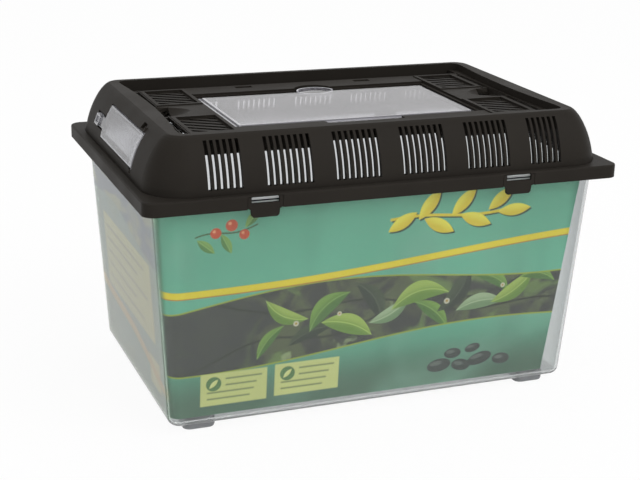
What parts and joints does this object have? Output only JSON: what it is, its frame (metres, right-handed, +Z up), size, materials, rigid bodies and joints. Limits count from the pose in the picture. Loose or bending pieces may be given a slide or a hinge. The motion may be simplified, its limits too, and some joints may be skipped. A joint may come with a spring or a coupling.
{
  "type": "plastic pet keeper",
  "caption": "Clear tapered tank on moulded feet with a printed lining card, under a black vented dome lid with louvred deck, clear top hatch, clear end door and snap clips.",
  "frame": {"origin": "on the floor under the middle of the tank, at the underside of the feet", "axes": "+X along the length towards the end without a door, -Y to the front with the printed card, +Z up"},
  "size_m": [0.37, 0.247, 0.224],
  "materials": {
    "clear_tank": "clear, slightly hazy moulded plastic",
    "printed_card": "satin printed card",
    "black_plastic": "satin black moulded plastic",
    "clear_hatch": "clear gloss moulded plastic"
  },
  "bodies": {
    "tank": {"tank": "clear_tank", "label_card": "printed_card"},
    "hood": {"hood": "black_plastic"},
    "top_hatch": {"top_hatch": "clear_hatch"},
    "side_hatch": {"side_hatch": "clear_hatch"},
    "clip_front_left": {"clip_front_left": "black_plastic"},
    "clip_front_right": {"clip_front_right": "black_plastic"},
    "clip_rear_left": {"clip_rear_left": "black_plastic"},
    "clip_rear_right": {"clip_rear_right": "black_plastic"}
  },
  "joints": [
    {"name": "hood_lift", "type": "slide", "parent": "tank", "child": "hood", "axis": [0, 0, 1], "range_m": [0, 0.12]},
    {"name": "top_hatch_hinge", "type": "hinge", "parent": "hood", "child": "top_hatch", "pos_m": [0, -0.061, 0.2154], "axis": [1, 0, 0], "range_deg": [0, 100]},
    {"name": "side_hatch_hinge", "type": "hinge", "parent": "hood", "child": "side_hatch", "pos_m": [-0.17525, -0.05295, 0.192], "axis": [0.3807, 0, 0.9247], "range_deg": [0, 100]},
    {"name": "clip_front_left_flex", "type": "hinge", "parent": "hood", "child": "clip_front_left", "pos_m": [-0.099, -0.1224, 0.1829], "axis": [-1, 0, 0], "range_deg": [0, 12], "stiffness_Nm_per_rad": 0.02},
    {"name": "clip_front_right_flex", "type": "hinge", "parent": "hood", "child": "clip_front_right", "pos_m": [0.099, -0.1224, 0.1829], "axis": [-1, 0, 0], "range_deg": [0, 12], "stiffness_Nm_per_rad": 0.02},
    {"name": "clip_rear_left_flex", "type": "hinge", "parent": "hood", "child": "clip_rear_left", "pos_m": [-0.099, 0.1224, 0.1829], "axis": [1, 0, 0], "range_deg": [0, 12], "stiffness_Nm_per_rad": 0.02},
    {"name": "clip_rear_right_flex", "type": "hinge", "parent": "hood", "child": "clip_rear_right", "pos_m": [0.099, 0.1224, 0.1829], "axis": [1, 0, 0], "range_deg": [0, 12], "stiffness_Nm_per_rad": 0.02}
  ]
}
